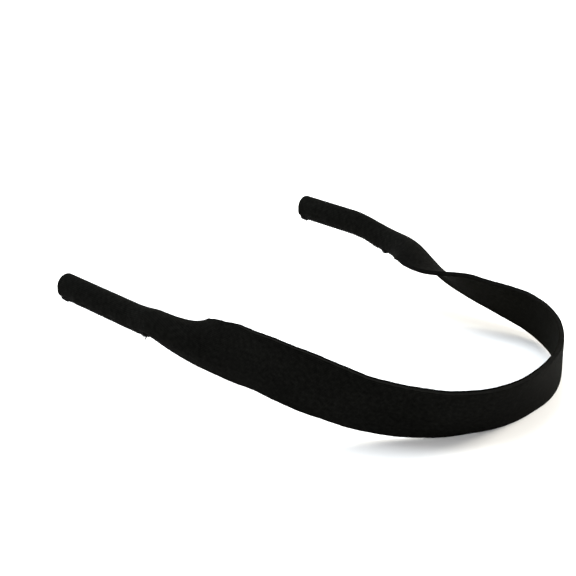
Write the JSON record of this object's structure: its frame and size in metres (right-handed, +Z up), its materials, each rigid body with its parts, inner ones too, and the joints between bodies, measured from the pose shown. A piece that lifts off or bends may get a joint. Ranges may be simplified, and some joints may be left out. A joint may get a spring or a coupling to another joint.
{
  "type": "eyeglass retainer strap",
  "caption": "Soft foam-laminate strap folded and sewn into a sleeve at each end, worn behind the head on spectacle temples.",
  "frame": {"origin": "under the middle of the strap's box, on the table that the back of the loop rests on", "axes": "+Z up, +Y from the sleeve mouths to the back of the loop, +X to the wearer's left"},
  "size_m": [0.1486, 0.1914, 0.0376],
  "materials": {
    "knitted_face": "matt knitted nylon, black",
    "knitted_lining": "matt knitted nylon, black",
    "foam": "cut closed-cell foam, black",
    "thread": "spun polyester thread, black"
  },
  "bodies": {
    "left_sleeve": {"left_sleeve_outer_face": "knitted_face", "left_sleeve_foam_core": "foam", "left_sleeve_inner_face": "knitted_lining", "left_seam_thread": "thread", "left_mouth_tack": "thread", "left_end_tack": "thread"},
    "left_band": {"left_band_outer_face": "knitted_face", "left_band_foam_core": "foam", "left_band_inner_face": "knitted_lining"},
    "right_band": {"right_band_outer_face": "knitted_face", "right_band_foam_core": "foam", "right_band_inner_face": "knitted_lining"},
    "right_sleeve": {"right_sleeve_outer_face": "knitted_face", "right_sleeve_foam_core": "foam", "right_sleeve_inner_face": "knitted_lining", "right_seam_thread": "thread", "right_mouth_tack": "thread", "right_end_tack": "thread"}
  },
  "joints": [
    {"name": "left_bend", "type": "hinge", "parent": "left_sleeve", "child": "left_band", "pos_m": [0.06266, 0.02576, 0.02507], "axis": [-0.0399, 0.107, 0.9935], "range_deg": [-55, 12]},
    {"name": "back_bend", "type": "hinge", "parent": "left_band", "child": "right_band", "pos_m": [-0.0006, 0.09048, 0.01163], "axis": [0.0641, 0.3514, 0.934], "range_deg": [-60, 20]},
    {"name": "right_bend", "type": "hinge", "parent": "right_band", "child": "right_sleeve", "pos_m": [-0.06017, 0.03362, 0.01543], "axis": [0.5433, 0.2414, 0.8041], "range_deg": [-55, 12]}
  ]
}
